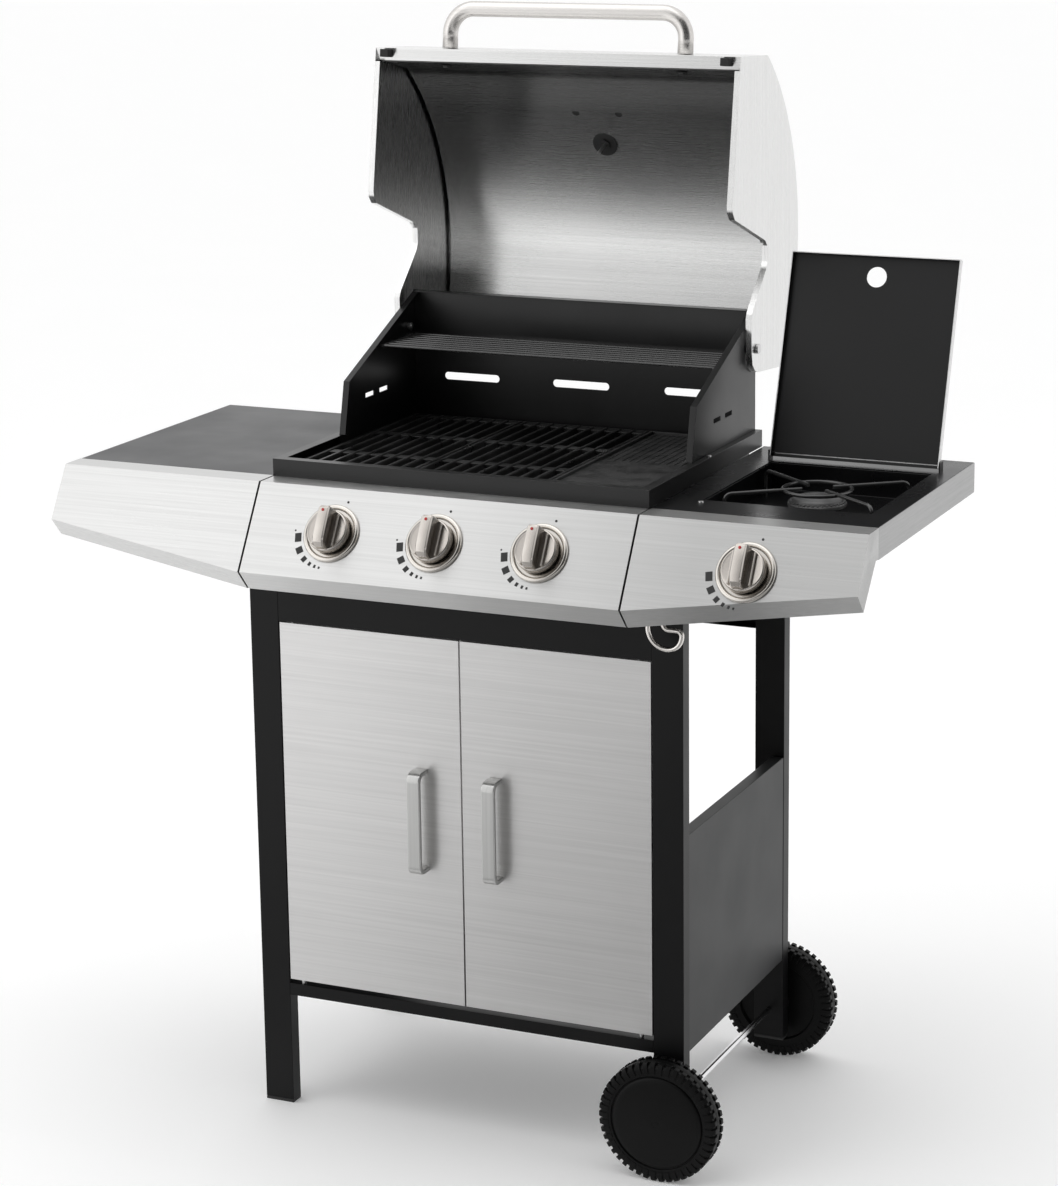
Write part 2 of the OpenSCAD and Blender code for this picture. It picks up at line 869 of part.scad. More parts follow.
module side_burner_tray() {
    gap = 0.4;
    x0 = tray_x0 + gap;
    x1 = tray_x1 - gap;
    y0 = tray_y0 + gap;
    y1 = tray_y1 - gap;
    rim_z = shelf_top - sheet - 0.1;
    color("#131314") at_cart() difference() {
        union() {
            block([x0, y0, tray_floor], [x1, y1, rim_z]);
            block([x0 - 7, y0 - 7, rim_z - sheet], [x1 + 7, y1 + 7, rim_z]);
        }
        block([x0 + sheet, y0 + sheet, tray_floor + sheet], [x1 - sheet, y1 - sheet, rim_z + 1]);
        rod_z(tray_floor - 1, tray_floor + 3, side_x, burner_y, 12.4);
    }
}

module side_burner() {
    pipe_r = 10;
    color("#707072") at_cart() difference() {
        union() {
            rod_y(-196, burner_y, side_x, burner_z, pipe_r);
            rod_z(burner_z - pipe_r, 808, side_x, burner_y, 12);
            translate([side_x, burner_y, 806]) rotate_extrude()
                polygon([[0, 0], [26, 0], [36, 6], [36, 12], [31, 12], [31, 15], [28, 18], [0, 18]]);
        }
        rod_y(-197, -160, side_x, burner_z, pipe_r - sheet);
    }
}

// Wire trivet that stands in the tray above the side burner
module pan_support() {
    reach = 118;
    color("#222223") at_cart() translate([side_x, burner_y, 0]) {
        translate([0, 0, support_z]) rotate_extrude() translate([support_r, 0]) circle(wire_r);
        for (a = [38, 142, 218, 322])
            rotate([0, 0, a]) {
                rod_x(20, reach, 0, support_z + 1.5, wire_r);
                rod_z(tray_floor + sheet + 0.1, support_z + 1.5, reach, 0, wire_r);
            }
    }
}

module side_lid() {
    front = lid_pin_y - side_lid_len;
    rear = lid_pin_y + 4;
    top = lid_pin_z + 3;
    low = top - lid_flange;
    color("#8e8f90") at_cart() lid_open() difference() {
        block([lid_x0, front, low], [lid_x1, rear, top]);
        block([lid_x0 + sheet, front + sheet, low - 1], [lid_x1 - sheet, rear + 1, top - sheet]);
        rod_z(low, top + 1, (lid_x0 + lid_x1) / 2 + 2, front + 26.5, finger_hole_r);
        rod_x(lid_x0 - 1, lid_x1 + 1, lid_pin_y, lid_pin_z, lid_pin_r + running_gap);
    }
}

module grease_tray() {
    top = 689.6;
    color("#9b9b9d") at_cart() difference() {
        union() {
            block([-90, -145, 662], [90, 150, top]);
            block([-98, -145, top - sheet], [98, 150, top]);
            block([-90, 150, 650], [90, 150 + sheet, top]);
        }
        block([-90 + sheet, -145 + sheet, 662 + sheet], [90 - sheet, 150 - sheet, top + 1]);
    }
}

// ---- Hood ----

module hood_shell() {
    curve = arc(skin_centre, hood_r, atan2(skin_corner[1] - skin_centre[1],
        skin_corner[0] - skin_centre[0]), 96.4, 22);
    path = concat([lip_end, lip_front], curve, [skin_rear]);
    color("#cdcdcd") at_cart() hood_open() difference() {
        along_x(-hood_in, hood_in) polygon(strip(path, -sheet));
        dial_axis() cylinder(r = 6, h = 40);
    }
}

// Inner skin, which leaves a space behind the outer one
module hood_liner() {
    curve = arc(liner_centre, liner_r, 148.5, 74, 30);
    path = concat([[lip_end[0], lip_end[1] + 2.5]], curve, [[190, 1117]]);
    color("#9a9a9a") at_cart() hood_open() difference() {
        along_x(-liner_half, liner_half) polygon(strip(path, -sheet));
        dial_axis() translate([0, 0, -10]) cylinder(r = 15.5, h = 25);
    }
}

// Axis of the thermometer: +Z points out through the hood, from the inner skin
module dial_axis() {
    p = skin_centre + (hood_r - dial_depth) * [cos(dial_angle), sin(dial_angle)];
    translate([0, p[0], p[1]]) rotate([dial_angle - 90, 0, 0]) children();
}

module hood_side() {
    curve = arc(skin_centre, hood_r, 96.4, atan2(skin_corner[1] - skin_centre[1],
        skin_corner[0] - skin_centre[0]), 22);
    lower = [[-10, 859.8], [-2, 862], [6, 870], [33, 982], [40, 991], [60, 994], [70, 990],
        [122, 947], [132, 943.5], [174, 950], [190, 955], [198, 965], [200.5, 975]];
    rim_path = concat([[-176.5, 868.2]], lower, [[196.2, 1118]]);
    difference() {
        union() {
            along_x(hood_in, hood_out) polygon(concat([lip_front], lower, [skin_rear], curve));
            along_x(hood_flange, hood_out) polygon(strip(rim_path, sheet));
        }
        rod_x(hood_in - 1, hood_out + 1, hinge_y, hinge_z, hinge_r + running_gap);
    }
}

module hood_side_left() {
    color("#d6d6d6") at_cart() hood_open() mirror([1, 0, 0]) hood_side();
}

module hood_side_right() {
    color("#d6d6d6") at_cart() hood_open() hood_side();
}

// Bent tube across the hood's front face
module hood_handle() {
    foot_y = -196.5;
    leg_at = handle_w / 2;
    turn_y = handle_y + handle_bend;
    color("#c8c8c8") at_cart() hood_open() {
        both_sides() {
            rod_y(turn_y, foot_y, leg_at, handle_z, handle_r);
            translate([leg_at - handle_bend, turn_y, handle_z]) rotate([0, 0, -90])
                rotate_extrude(angle = 90) translate([handle_bend, 0]) circle(handle_r);
        }
        rod_x(-leg_at + handle_bend, leg_at - handle_bend, handle_y, handle_z, handle_r);
    }
}

module thermometer() {
    gap = dial_depth + 0.02;
    color("#a9a9a9") at_cart() hood_open() dial_axis() {
        translate([0, 0, gap]) cylinder(r = 32, h = 3);
        translate([0, 0, gap + 3]) cylinder(r = 30, h = 8);
        cylinder(r = 5.5, h = gap + 2);
        translate([0, 0, -1]) cylinder(r = 14, h = 6);
        translate([0, 0, -26]) cylinder(r = 2.2, h = 27);
    }
}

// Rubber blocks under the lip, which rest on the rim when the hood is closed
module hood_bumpers() {
    slope = (lip_end[1] - lip_front[1]) / (lip_end[0] - lip_front[0]);
    y0 = lip_front[0] + 2;
    y1 = y0 + 10;
    foot = rim_top + 0.4;
    color("#1a1a1a") at_cart() hood_open() both_sides()
        along_x(228, 240) polygon([[y0, foot], [y1, foot], [y1, lip_front[1] + 12 * slope],
            [y0, lip_front[1] + 2 * slope]]);
}

// Bolt, spacer and head on which the hood turns, one on each side
module hood_bolts() {
    color("#909092") at_cart() both_sides() {
        rod_x(wall_in - 6, hood_out + 0.4, hinge_y, hinge_z, hinge_r);
        rod_x(wall_out, hood_in - 0.3, hinge_y, hinge_z, 8);
        rod_x(hood_out + 0.4, hood_out + 4, hinge_y, hinge_z, 6.5);
        rod_x(wall_in - 5, wall_in, hinge_y, hinge_z, 5.5);
    }
}

leg_front_left();
leg_front_right();
leg_rear_left();
leg_rear_right();
leg_plugs();
side_panel_left();
side_panel_right();
bottom_shelf();
front_apron();
rear_rail();
shelf_rails();
door_left();
door_right();
door_handle_left();
door_handle_right();
door_pins();
axle();
wheel_front();
wheel_rear();
control_panel();
fascia_left();
fascia_right();
shelf_left();
shelf_right();
shelf_bands();
cook_box();
wall_left();
wall_right();
wall_rear();
warming_rack();
grate_left();
grate_middle();
griddle();
heat_plates();
burners();
manifold();
valves();
bezels();
stem_left();
stem_middle();
stem_right();
stem_side();
knob_left();
knob_middle();
knob_right();
knob_side();
side_burner_tray();
side_burner();
pan_support();
side_lid();
side_gas_tube();
grease_tray();
hood_shell();
hood_liner();
hood_side_left();
hood_side_right();
hood_handle();
thermometer();
hood_bumpers();
hood_bolts();
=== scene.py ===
"""Gas barbecue grill: the looks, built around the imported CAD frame. Metres, +Z up, +Y to the rear."""

import json
import math

import bmesh
import bpy
from mathutils import Matrix, Vector

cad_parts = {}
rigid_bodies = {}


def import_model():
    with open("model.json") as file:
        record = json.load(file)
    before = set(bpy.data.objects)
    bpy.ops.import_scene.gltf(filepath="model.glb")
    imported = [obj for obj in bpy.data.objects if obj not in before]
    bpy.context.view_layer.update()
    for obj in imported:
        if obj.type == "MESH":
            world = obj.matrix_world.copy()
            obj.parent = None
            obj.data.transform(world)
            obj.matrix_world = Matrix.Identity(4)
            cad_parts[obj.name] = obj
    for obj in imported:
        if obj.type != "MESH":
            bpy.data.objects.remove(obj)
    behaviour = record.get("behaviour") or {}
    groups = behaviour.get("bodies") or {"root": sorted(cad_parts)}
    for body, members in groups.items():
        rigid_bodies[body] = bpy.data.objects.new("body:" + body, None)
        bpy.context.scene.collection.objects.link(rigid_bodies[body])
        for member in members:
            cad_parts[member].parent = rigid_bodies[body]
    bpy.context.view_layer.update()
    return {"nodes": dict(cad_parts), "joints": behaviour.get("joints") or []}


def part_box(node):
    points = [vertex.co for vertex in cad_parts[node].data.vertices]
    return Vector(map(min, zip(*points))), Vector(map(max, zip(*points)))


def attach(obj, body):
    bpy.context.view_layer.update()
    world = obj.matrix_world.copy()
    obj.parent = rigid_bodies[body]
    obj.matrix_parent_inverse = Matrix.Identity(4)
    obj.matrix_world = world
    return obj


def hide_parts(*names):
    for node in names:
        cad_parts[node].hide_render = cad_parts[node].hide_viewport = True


for old in list(bpy.data.objects):
    bpy.data.objects.remove(old)

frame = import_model()
NODES = frame["nodes"]
JOINTS = {j["name"]: j for j in frame["joints"]}
MM = 0.001
TAU = math.tau


def mm(points):
    """Points given in millimetres, as points in metres."""
    return [tuple(c * MM for c in point) for point in points]


def middle(name):
    """Middle of a CAD node's box."""
    lo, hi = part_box(name)
    return (lo + hi) / 2


CART_Y = middle("axle").y


def at(x, y, z):
    """A point of the cart, in millimetres from the cart's middle, in the part's frame."""
    return Vector((x * MM, y * MM + CART_Y, z * MM))


# ---------------------------------------------------------------- materials

NOISE_LOW, NOISE_HIGH = 0.3, 0.7    # where most of a noise texture's values lie
GRAIN_STRETCH = 0.02                # scale of a brushed grain along its own axis
X_AXIS, Y_AXIS, Z_AXIS = (1, 0, 0), (0, 1, 0), (0, 0, 1)


def shader(name, colour, metallic, roughness, **extra):
    mat = bpy.data.materials.new(name)
    mat.use_nodes = True
    mat.diffuse_color = (*colour, 1)
    bsdf = mat.node_tree.nodes["Principled BSDF"]
    bsdf.inputs["Base Color"].default_value = (*colour, 1)
    bsdf.inputs["Metallic"].default_value = metallic
    bsdf.inputs["Roughness"].default_value = roughness
    for key, value in extra.items():
        bsdf.inputs[key.replace("_", " ")].default_value = value
    return mat, bsdf


def node(mat, kind, **values):
    made = mat.node_tree.nodes.new(kind)
    for key, value in values.items():
        setattr(made, key, value)
    return made


def link(mat, a, b):
    mat.node_tree.links.new(a, b)


def noise(mat, scale, detail=3.0, stretch=(1, 1, 1)):
    """Noise in object space, stretched by axis; its features are about 1 / scale metres."""
    coord = node(mat, "ShaderNodeTexCoord")
    mapping = node(mat, "ShaderNodeMapping")
    mapping.inputs["Scale"].default_value = stretch
    tex = node(mat, "ShaderNodeTexNoise")
    tex.inputs["Scale"].default_value = scale
    tex.inputs["Detail"].default_value = detail
    tex.inputs["Roughness"].default_value = 0.55
    link(mat, coord.outputs["Object"], mapping.inputs["Vector"])
    link(mat, mapping.outputs["Vector"], tex.inputs["Vector"])
    return tex.outputs["Fac"]


def spread(mat, fac, low, high, start=NOISE_LOW, end=NOISE_HIGH):
    """Value that runs from low to high while the factor runs from start to end."""
    ranged = node(mat, "ShaderNodeMapRange")
    for key, value in (("From Min", start), ("From Max", end), ("To Min", low), ("To Max", high)):
        ranged.inputs[key].default_value = value
    link(mat, fac, ranged.inputs["Value"])
    return ranged.outputs["Result"]


def tint(mat, fac, dark, light):
    """Colour between two colours, by a noise."""
    ramp = node(mat, "ShaderNodeValToRGB")
    for stop, position, colour in zip(ramp.color_ramp.elements, (NOISE_LOW, NOISE_HIGH), (dark, light)):
        stop.position = position
        stop.color = (*colour, 1)
    link(mat, fac, ramp.inputs["Fac"])
    return ramp.outputs["Color"]


def bump(mat, bsdf, height, strength, distance):
    made = node(mat, "ShaderNodeBump")
    made.inputs["Strength"].default_value = strength
    made.inputs["Distance"].default_value = distance
    link(mat, height, made.inputs["Height"])
    link(mat, made.outputs["Normal"], bsdf.inputs["Normal"])


def shade(colour, factor):
    return tuple(min(1.0, c * factor) for c in colour)


def brushed(name, colour, rough, grain=X_AXIS, vary=0.06, aniso=0.6, depth=0.04 * MM):
    """Steel with a fine grain along one axis, which smears reflections across the grain."""
    mat, bsdf = shader(name, colour, 1.0, rough, Anisotropic=aniso)
    if aniso:
        surface = node(mat, "ShaderNodeNewGeometry")
        across = node(mat, "ShaderNodeVectorMath", operation="CROSS_PRODUCT")
        across.inputs[0].default_value = grain
        link(mat, surface.outputs["Normal"], across.inputs[1])
        link(mat, across.outputs["Vector"], bsdf.inputs["Tangent"])
    fine = noise(mat, 1500, 2.0, tuple(GRAIN_STRETCH if a else 1 for a in grain))
    coarse = noise(mat, 420, 3.0, tuple(0.3 * GRAIN_STRETCH if a else 1 for a in grain))
    cloud = noise(mat, 6, 2.0)
    link(mat, tint(mat, coarse, shade(colour, 0.94), shade(colour, 1.05)), bsdf.inputs["Base Color"])
    mixed = node(mat, "ShaderNodeMath", operation="ADD")
    link(mat, spread(mat, fine, rough - vary, rough + vary), mixed.inputs[0])
    link(mat, spread(mat, cloud, -0.01, 0.01), mixed.inputs[1])
    link(mat, mixed.outputs[0], bsdf.inputs["Roughness"])
    bump(mat, bsdf, fine, 0.12, depth)
    return mat


def paint_shade_along(mat, axis, low, high, left):
    """Paints shade into a material: darkens its colour along an axis of the part's frame, down to the part
    of its light that is left.
    """
    bsdf = mat.node_tree.nodes["Principled BSDF"]
    coord = node(mat, "ShaderNodeTexCoord")
    split = node(mat, "ShaderNodeSeparateXYZ")
    scaled = node(mat, "ShaderNodeVectorMath", operation="SCALE")
    link(mat, coord.outputs["Object"], split.inputs[0])
    link(mat, bsdf.inputs["Base Color"].links[0].from_socket, scaled.inputs[0])
    link(mat, spread(mat, split.outputs[axis], 1.0, left, low, high), scaled.inputs["Scale"])
    link(mat, scaled.outputs["Vector"], bsdf.inputs["Base Color"])
    return mat


def painted(name, colour, rough, grain=1300, depth=0.04 * MM, strength=0.25, specular=0.5):
    """Powder coat: a faint orange peel, and a finish that varies a little."""
    mat, bsdf = shader(name, colour, 0.0, rough, Specular_IOR_Level=specular)
    peel = noise(mat, grain, 2.0)
    cloud = noise(mat, 9, 3.0)
    link(mat, tint(mat, cloud, shade(colour, 0.88), shade(colour, 1.14)), bsdf.inputs["Base Color"])
    link(mat, spread(mat, cloud, rough - 0.04, rough + 0.05), bsdf.inputs["Roughness"])
    bump(mat, bsdf, peel, strength, depth)
    return mat


def cast(name, colour, rough, depth=0.25 * MM):
    """Enamelled casting: uneven skin with glossy and matt patches."""
    mat, bsdf = shader(name, colour, 0.0, rough, Specular_IOR_Level=0.6)
    skin = noise(mat, 480, 5.0)
    patch = noise(mat, 38, 3.0)
    link(mat, tint(mat, patch, shade(colour, 0.7), shade(colour, 1.5)), bsdf.inputs["Base Color"])
    link(mat, spread(mat, patch, rough - 0.1, rough + 0.16), bsdf.inputs["Roughness"])
    bump(mat, bsdf, skin, 0.5, depth)
    return mat


def polished(name, colour, rough):
    """Bare or plated metal with faint wear."""
    vary = 0.015
    mat, bsdf = shader(name, colour, 1.0, rough)
    wear = noise(mat, 45, 2.0)
    link(mat, tint(mat, wear, shade(colour, 0.97), shade(colour, 1.02)), bsdf.inputs["Base Color"])
    link(mat, spread(mat, wear, rough - vary, rough + vary), bsdf.inputs["Roughness"])
    return mat


STEEL_FINE = dict(vary=0.012, aniso=0.8, depth=0.01 * MM)
# Painted shade: the front and door steels get darker towards the right, the liner gets darker the higher it
# stands in its own frame, and the band gets darker along the right shelf towards its outer end.
FRONT = paint_shade_along(brushed("front_steel", (0.63, 0.63, 0.625), 0.34), "X", 0.0, 0.33, 0.72)
DOOR = paint_shade_along(brushed("door_steel", (0.67, 0.665, 0.66), 0.36), "X", -0.18, 0.1, 0.92)
HOOD = brushed("hood_steel", (0.72, 0.72, 0.715), 0.27, **STEEL_FINE)
LINER = paint_shade_along(brushed("liner_steel", (0.84, 0.84, 0.835), 0.27, **STEEL_FINE), "Z", 1.07, 1.25, 0.17)
HOOD_SIDE = brushed("side_steel", (0.76, 0.76, 0.755), 0.26, Z_AXIS, aniso=0.0)
BAND = paint_shade_along(brushed("band_steel", (0.78, 0.78, 0.78), 0.36, Y_AXIS), "X", 0.3, 0.5, 0.45)
HANDLE = brushed("handle_tube", (0.66, 0.64, 0.62), 0.24)
ALLOY = brushed("handle_alloy", (0.6, 0.6, 0.59), 0.34, Z_AXIS)
LID_OUT = brushed("lid_steel", (0.74, 0.74, 0.74), 0.34, aniso=0.0)

BLACK = painted("black_paint", (0.004, 0.004, 0.0043), 0.36, specular=0.2)
GREY_SIDE = painted("side_paint", (0.018, 0.0187, 0.0195), 0.42, specular=0.3)
GREY_SHELF = painted("shelf_paint", (0.026, 0.027, 0.029), 0.36, specular=0.3)
TRAY = painted("tray_paint", (0.004, 0.004, 0.0045), 0.28, specular=0.3)
BOX = painted("box_paint", (0.006, 0.006, 0.0062), 0.32, specular=0.45)
LID_IN = painted("lid_inside", (0.007, 0.007, 0.0075), 0.4, specular=0.35)
INK = painted("printed_black", (0.02, 0.02, 0.02), 0.6)
RED = painted("red_dot", (0.45, 0.02, 0.02), 0.35)
DIAL = painted("dial_face", (0.8, 0.8, 0.78), 0.5)
WIRE = painted("rack_enamel", (0.03, 0.03, 0.03), 0.2, grain=700, depth=0.06 * MM, specular=0.8)
PLASTIC = painted("black_plastic", (0.012, 0.012, 0.012), 0.5, grain=900, depth=0.08 * MM, strength=0.3)
TYRE = painted("wheel_plastic", (0.003, 0.003, 0.003), 0.42, grain=600, depth=0.08 * MM, strength=0.3,
               specular=0.15)
RUBBER = painted("rubber", (0.012, 0.012, 0.012), 0.7, grain=500, depth=0.1 * MM, strength=0.4)

IRON = cast("cast_black", (0.010, 0.010, 0.010), 0.36)
PLATE = cast("griddle_skin", (0.022, 0.022, 0.022), 0.46, 0.08 * MM)
BURNER = cast("burner_iron", (0.10, 0.10, 0.10), 0.42)

ZINC = polished("zinc", (0.62, 0.62, 0.62), 0.3)
CHROME = polished("chrome_rod", (0.82, 0.82, 0.83), 0.14)
TUBE = polished("tube_metal", (0.78, 0.75, 0.72), 0.2)
NICKEL = polished("knob_nickel", (0.55, 0.515, 0.48), 0.2)
NICKEL_RING = polished("ring_nickel", (0.64, 0.61, 0.57), 0.17)
BRASS = polished("brass", (0.72, 0.53, 0.24), 0.3)
MILL = polished("mill_steel", (0.45, 0.45, 0.45), 0.4)


# ---------------------------------------------------------------- mesh tools

class Build:
    """Collects shapes into one mesh. A shape is (vertices, faces)."""

    def __init__(self):
        self.verts = []
        self.faces = []
        self.slots = []

    def add(self, shape, matrix=Matrix(), slot=0):
        verts, faces = shape
        start = len(self.verts)
        self.verts += [matrix @ Vector(v) for v in verts]
        self.faces += [[i + start for i in f] for f in faces]
        self.slots += [slot] * len(faces)

    def moved(self, matrix):
        """The same mesh in another place."""
        made = Build()
        made.verts = [matrix @ v for v in self.verts]
        made.faces, made.slots = self.faces, self.slots
        return made


def lathe(profile, steps):
    """Solid of revolution about Z. The profile is (radius, height), and it starts and ends on the axis
    or closes on itself."""
    verts, faces, rings = [], [], []
    closed = profile[0][0] > 0
    for r, z in profile:
        if r <= 0:
            rings.append([len(verts)] * steps)
            verts.append((0, 0, z))
        else:
            rings.append(list(range(len(verts), len(verts) + steps)))
            verts += [(r * math.cos(TAU * i / steps), r * math.sin(TAU * i / steps), z)
                      for i in range(steps)]
    pairs = list(zip(rings, rings[1:]))
    if closed:
        pairs.append((rings[-1], rings[0]))
    for a, b in pairs:
        for i in range(steps):
            j = (i + 1) % steps
            face = [a[i], a[j], b[j], b[i]]
            face = [v for k, v in enumerate(face) if v not in face[:k]]
            if len(face) > 2:
                faces.append(face)
    return verts, faces


def prism(outline, z0, z1, top_inset=0.0):
    """Prism over an outline in the (X, Y) plane. A top inset draws its top face in towards the middle."""
    n = len(outline)
    cx = sum(p[0] for p in outline) / n
    cy = sum(p[1] for p in outline) / n
    half = max(max(abs(p[0] - cx), abs(p[1] - cy)) for p in outline)
    scale = 1 - top_inset / half
    verts = [(x, y, z0) for x, y in outline]
    verts += [(cx + (x - cx) * scale, cy + (y - cy) * scale, z1) for x, y in outline]
    faces = [list(range(n))[::-1], list(range(n, 2 * n))]
    faces += [[i, (i + 1) % n, n + (i + 1) % n, n + i] for i in range(n)]
    return verts, faces


def box(lo, hi):
    """Box between two corners."""
    return prism([(lo[0], lo[1]), (hi[0], lo[1]), (hi[0], hi[1]), (lo[0], hi[1])], lo[2], hi[2])


def bar(p, q, width, height):
    """Cast bar from p to q along its middle top line, with a crowned top and upright sides."""
    crown = 0.6
    p, q = Vector(p), Vector(q)
    along = (q - p).normalized()
    side = along.cross(Vector((0, 0, 1)))
    section = [(-0.5, -1.0), (-0.5, -0.45), (-0.42, -0.12), (-0.25, 0.0), (0.25, 0.0), (0.42, -0.12),
               (0.5, -0.45), (0.5, -1.0)]
    verts = []
    for end in (p, q):
        verts += [end + side * (s * width) + Vector((0, 0, t * height * (crown if t > -0.9 else 1)))
                  for s, t in section]
    n = len(section)
    faces = [list(range(n)), list(range(n, 2 * n))[::-1]]
    faces += [[i, n + i, n + (i + 1) % n, (i + 1) % n] for i in range(n)]
    return verts, faces


def bent_path(points, radius):
    """Polyline with its inner corners rounded to a radius."""
    steps = 8
    points = [Vector(p) for p in points]
    path = [points[0]]
    for before, corner, after in zip(points, points[1:], points[2:]):
        u, w = (before - corner).normalized(), (after - corner).normalized()
        angle = math.acos(max(-1.0, min(1.0, u.dot(w))))
        reach = min(radius / math.tan(angle / 2), 0.49 * (before - corner).length,
                    0.49 * (after - corner).length)
        r = reach * math.tan(angle / 2)
        centre = corner + (u + w).normalized() * (r / math.sin(angle / 2))
        a, b = (corner + u * reach - centre).normalized(), (corner + w * reach - centre).normalized()
        for k in range(steps + 1):
            path.append(centre + r * a.slerp(b, k / steps))
    path.append(points[-1])
    return path


def tube(path, radius, sides, closed=False):
    """Round rod along a path, with flat ends, or a ring."""
    path = [Vector(p) for p in path]
    n = len(path)
    verts, faces = [], []
    normal = None
    for i, point in enumerate(path):
        ahead = path[(i + 1) % n] if closed or i < n - 1 else point
        behind = path[i - 1] if closed or i else point
        tangent = (ahead - behind).normalized()
        if normal is None:
            normal = tangent.orthogonal().normalized()
        normal = (normal - tangent * normal.dot(tangent)).normalized()
        other = tangent.cross(normal)
        verts += [point + radius * (math.cos(TAU * k / sides) * normal + math.sin(TAU * k / sides) * other)
                  for k in range(sides)]
    for i in range(n if closed else n - 1):
        a, b = i * sides, ((i + 1) % n) * sides
        faces += [[a + k, a + (k + 1) % sides, b + (k + 1) % sides, b + k] for k in range(sides)]
    if not closed:
        faces += [list(range(sides))[::-1], list(range((n - 1) * sides, n * sides))]
    return verts, faces


def dome_head(radius, height):
    """Pan head of a screw with a small recess, standing on Z = 0."""
    outline = [(0, 0), (1, 0), (1, 0.35), (0.86, 0.75), (0.5, 1), (0.16, 1), (0.16, 0.6), (0, 0.6)]
    return lathe([(r * radius, z * height) for r, z in outline], 24)


def hex_head(radius, height):
    """Six-sided bolt head with a slight chamfer, standing on Z = 0."""
    outline = [(radius * math.cos(TAU * k / 6), radius * math.sin(TAU * k / 6)) for k in range(6)]
    return prism(outline, 0, height, 0.12 * radius)


def facing(point, direction, up=(0, 0, 1)):
    """Matrix whose +Z runs along a direction from a point."""
    z = Vector(direction).normalized()
    x = Vector(up).cross(z)
    x = x.normalized() if x.length > 1e-6 else Vector((1, 0, 0))
    y = z.cross(x)
    return Matrix(((x.x, y.x, z.x, point[0]), (x.y, y.y, z.y, point[1]), (x.z, y.z, z.z, point[2]),
                   (0, 0, 0, 1)))


def piece(name, build, materials, body, replaces=(), bevel=0.0, angle=35):
    """Makes the object, gives it its materials and rides it on its body."""
    mesh = bpy.data.meshes.new(name)
    mesh.from_pydata([tuple(v) for v in build.verts], [], build.faces)
    materials = materials if isinstance(materials, (list, tuple)) else [materials]
    for mat in materials:
        mesh.materials.append(mat)
    mesh.polygons.foreach_set("material_index", build.slots)
    mesh.update()
    obj = bpy.data.objects.new(name, mesh)
    bpy.context.scene.collection.objects.link(obj)
    tidy_normals(mesh)
    finish_edges(obj, bevel, angle, 2)
    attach(obj, body)
    if replaces:
        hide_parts(*replaces)


def tidy_normals(mesh):
    """Points each shell's faces outwards."""
    made = bmesh.new()
    made.from_mesh(mesh)
    bmesh.ops.recalc_face_normals(made, faces=made.faces)
    made.to_mesh(mesh)
    made.free()


def finish_edges(obj, bevel, angle, segments, weld=False):
    """Rounds the edges sharper than an angle and shades the rest smooth. A weld first joins the CAD's
    triangles into flat faces."""
    obj.data.shade_smooth()
    if weld:
        modifier = obj.modifiers.new("weld", "WELD")
        modifier.merge_threshold = 2e-6
        modifier = obj.modifiers.new("flats", "DECIMATE")
        modifier.decimate_type = "DISSOLVE"
        modifier.angle_limit = math.radians(0.5)
    if bevel:
        modifier = obj.modifiers.new("edges", "BEVEL")
        modifier.width = bevel
        modifier.segments = segments
        modifier.limit_method = "ANGLE"
        modifier.angle_limit = math.radians(angle)
        modifier = obj.modifiers.new("normals", "WEIGHTED_NORMAL")
        modifier.weight = 80
    else:
        obj.data.set_sharp_from_angle(angle=math.radians(angle))


def cad(name, material, bevel=0.4 * MM, segments=2, angle=35):
    """Gives a CAD node its material and its rounded edges."""
    obj = NODES[name]
    obj.data.materials.clear()
    obj.data.materials.append(material)
    finish_edges(obj, bevel, angle, segments, weld=True)


def silver_outside(name, material):
    """Gives a second material to the faces of a pan-shaped node that look away from its middle, apart
    from those that look down."""
    mesh = NODES[name].data
    mesh.materials.append(material)
    centre = middle(name)
    for face in mesh.polygons:
        outward = face.center - centre
        looks_down = face.normal.z <= -0.5
        if face.normal.dot(outward) > 0 and not looks_down:
            face.material_index = 1


# ---------------------------------------------------------------- cart

for name in ("leg_front_left", "leg_front_right", "leg_rear_left", "leg_rear_right"):
    cad(name, BLACK, 1.6 * MM, 3)
for name in ("bottom_shelf", "front_apron", "rear_rail", "shelf_rails"):
    cad(name, BLACK, 0.8 * MM)
cad("leg_plugs", PLASTIC, 0.8 * MM)
for name in ("side_panel_left", "side_panel_right"):
    cad(name, GREY_SIDE, 0.8 * MM)
for name in ("door_left", "door_right"):
    cad(name, DOOR, 0.5 * MM)
for name in ("door_handle_left", "door_handle_right"):
    cad(name, ALLOY, 1.6 * MM, 3)
cad("door_pins", ZINC, 0.3 * MM)
cad("axle", CHROME, 0.5 * MM)

# ---------------------------------------------------------------- wheels

